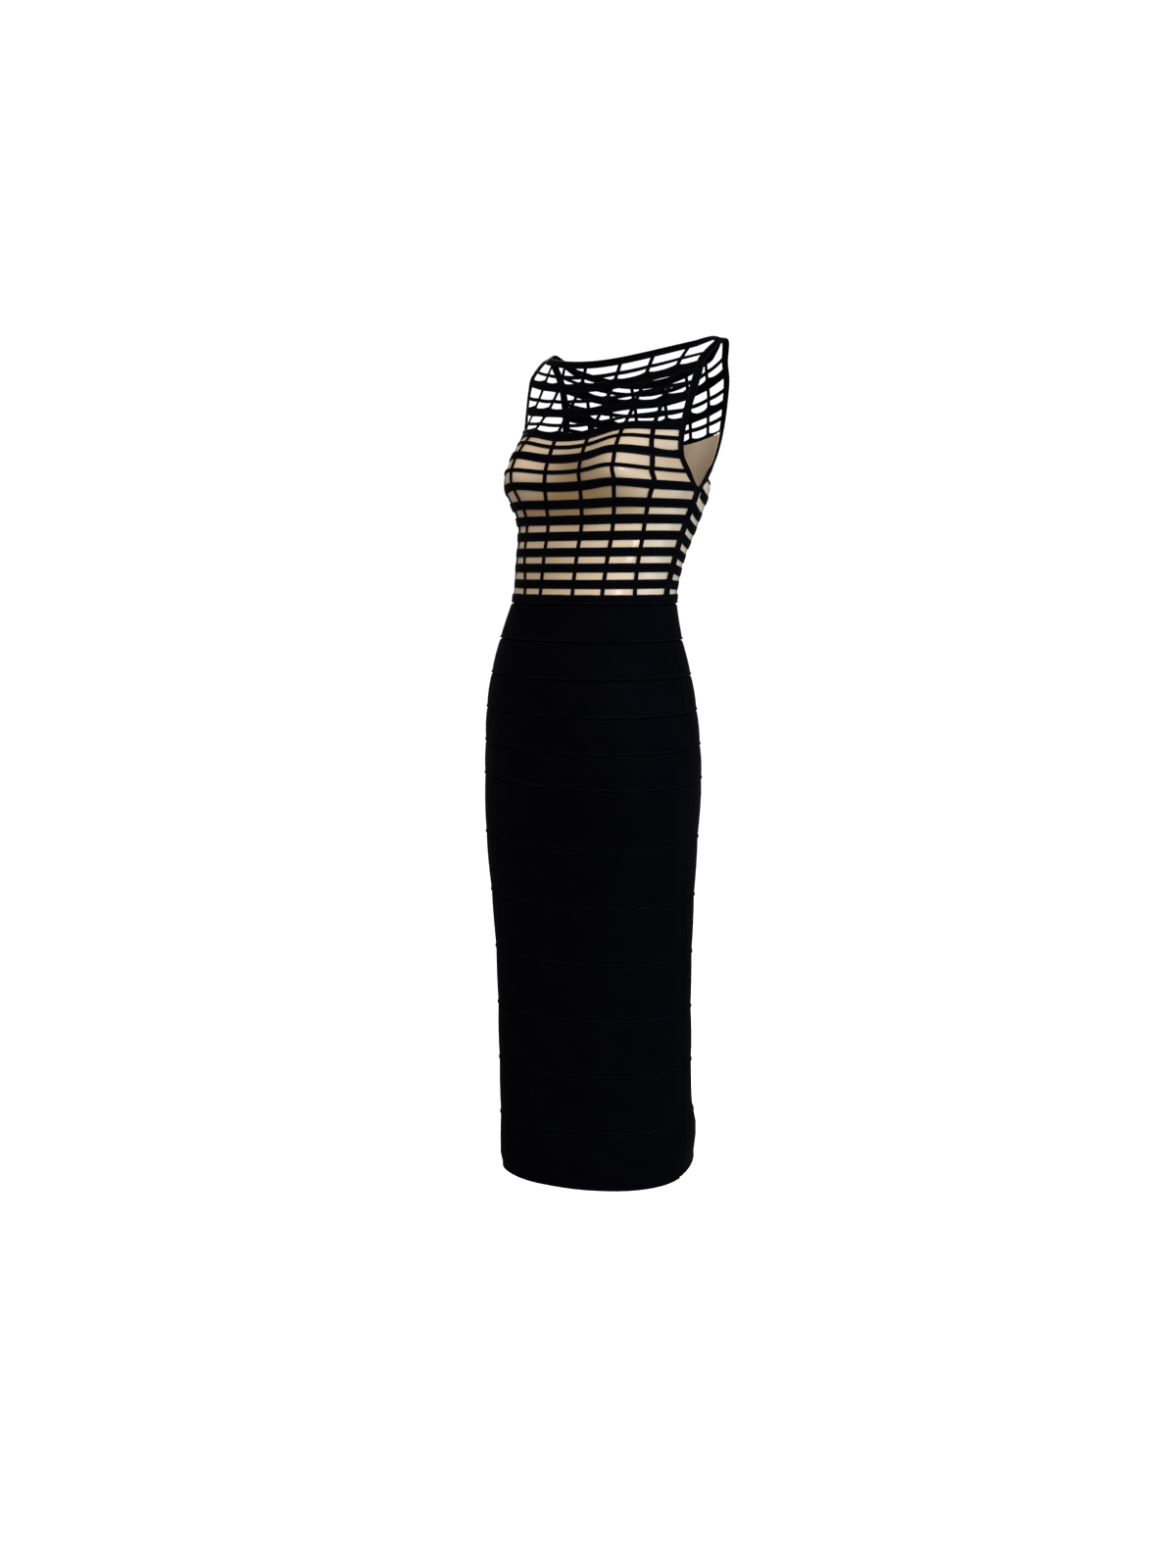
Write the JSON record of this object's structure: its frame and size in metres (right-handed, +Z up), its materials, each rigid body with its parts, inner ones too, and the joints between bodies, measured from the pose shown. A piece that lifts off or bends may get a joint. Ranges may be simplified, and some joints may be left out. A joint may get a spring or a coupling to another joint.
{
  "type": "bodycon dress",
  "caption": "Sleeveless midi bodycon dress with an open lattice bodice over a nude mesh lining and a skirt of seamed bandage strips, filled out as worn and hollow.",
  "frame": {"origin": "midway between the two shoulder ridges, where the wearer holds the dress up", "axes": "+Z up, the front faces -Y, the wearer's left is +X"},
  "size_m": [0.2944, 0.2595, 1.1126],
  "materials": {
    "black_knit": "dense bandage knit, matt with a faint sheen",
    "nude_mesh": "fine nude mesh, softly glossy"
  },
  "bodies": {
    "root": {"yoke_lattice_front": "black_knit", "yoke_lattice_back": "black_knit", "bodice_lattice_front": "black_knit", "bodice_lattice_back": "black_knit", "lining_front": "nude_mesh", "lining_back": "nude_mesh", "waist_band_front": "black_knit", "waist_band_back": "black_knit", "neck_binding": "black_knit", "armhole_binding_left": "black_knit", "armhole_binding_right": "black_knit", "side_strip_left": "black_knit", "side_strip_right": "black_knit", "skirt_strip_01_front": "black_knit", "skirt_strip_01_back": "black_knit", "skirt_strip_02_front": "black_knit", "skirt_strip_02_back": "black_knit", "skirt_strip_03_front": "black_knit", "skirt_strip_03_back": "black_knit", "skirt_strip_04_front": "black_knit", "skirt_strip_04_back": "black_knit", "skirt_strip_05_front": "black_knit", "skirt_strip_05_back": "black_knit", "skirt_strip_06_front": "black_knit", "skirt_strip_06_back": "black_knit", "skirt_strip_07_front": "black_knit", "skirt_strip_07_back": "black_knit", "skirt_strip_08_front": "black_knit", "skirt_strip_08_back": "black_knit", "skirt_strip_09_front": "black_knit", "skirt_strip_09_back": "black_knit", "skirt_strip_10_front": "black_knit", "skirt_strip_10_back": "black_knit", "skirt_strip_11_front": "black_knit", "skirt_strip_11_back": "black_knit", "skirt_strip_12_front": "black_knit", "skirt_strip_12_back": "black_knit"}
  },
  "joints": []
}
